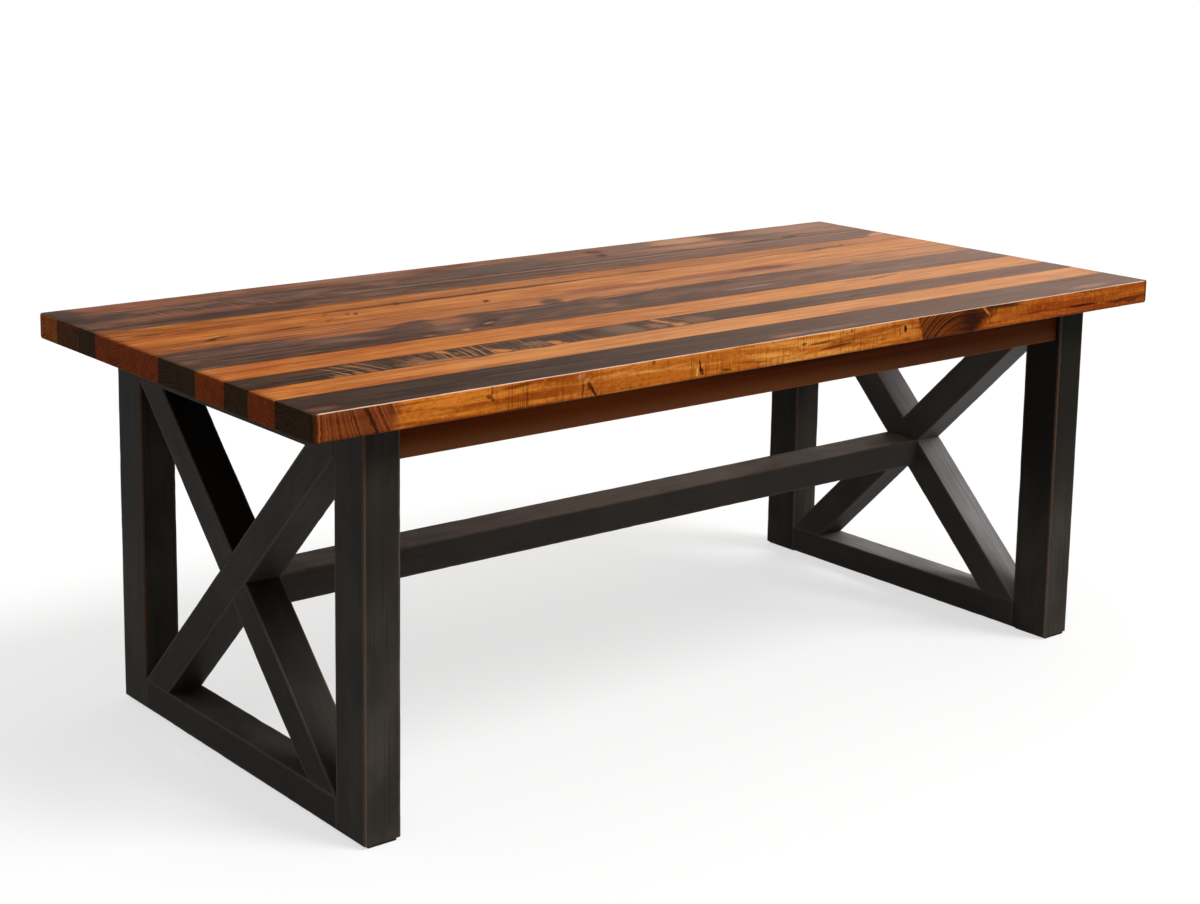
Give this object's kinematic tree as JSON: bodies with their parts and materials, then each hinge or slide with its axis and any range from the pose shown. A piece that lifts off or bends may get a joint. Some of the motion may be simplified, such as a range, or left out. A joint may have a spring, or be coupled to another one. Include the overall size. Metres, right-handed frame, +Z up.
{
  "type": "sawbuck table",
  "caption": "Long dining table with a thick glued plank top on two square end frames braced by crosses, joined by a stretcher between the crossings and aprons under the top.",
  "frame": {"origin": "on the floor, under the middle of the top", "axes": "+X along the table, +Y across it to the back, +Z up"},
  "size_m": [2.032, 0.965, 0.762],
  "materials": {
    "plank_black_brown": "satin varnish",
    "plank_dark_brown": "satin varnish",
    "plank_red_brown": "satin varnish",
    "plank_orange": "satin varnish",
    "apron_wood": "satin varnish",
    "black_wood": "black paint rubbed at the edges",
    "joining_wood": "bare",
    "clip_steel": "zinc plated",
    "screw_steel": "zinc plated",
    "pad": "matt"
  },
  "bodies": {
    "root": {"top_board_01": "plank_black_brown", "top_board_02": "plank_orange", "top_board_03": "plank_dark_brown", "top_board_04": "plank_orange", "top_board_05": "plank_dark_brown", "top_board_06": "plank_red_brown", "top_board_07": "plank_orange", "top_board_08": "plank_orange", "top_board_09": "plank_dark_brown", "top_board_10": "plank_dark_brown", "top_board_11": "plank_red_brown", "board_splines": "joining_wood", "leg_front_left": "black_wood", "brace_up_front_left": "black_wood", "foot_pad_front_left": "pad", "leg_back_left": "black_wood", "brace_up_back_left": "black_wood", "foot_pad_back_left": "pad", "bottom_rail_left": "black_wood", "top_rail_left": "black_wood", "leg_front_right": "black_wood", "brace_up_front_right": "black_wood", "foot_pad_front_right": "pad", "leg_back_right": "black_wood", "brace_up_back_right": "black_wood", "foot_pad_back_right": "pad", "bottom_rail_right": "black_wood", "top_rail_right": "black_wood", "stretcher": "black_wood", "cross_rail": "apron_wood", "apron_front": "apron_wood", "apron_back": "apron_wood", "tabletop_clips": "clip_steel", "clip_screws": "screw_steel", "cross_rail_screws": "screw_steel"}
  },
  "joints": []
}
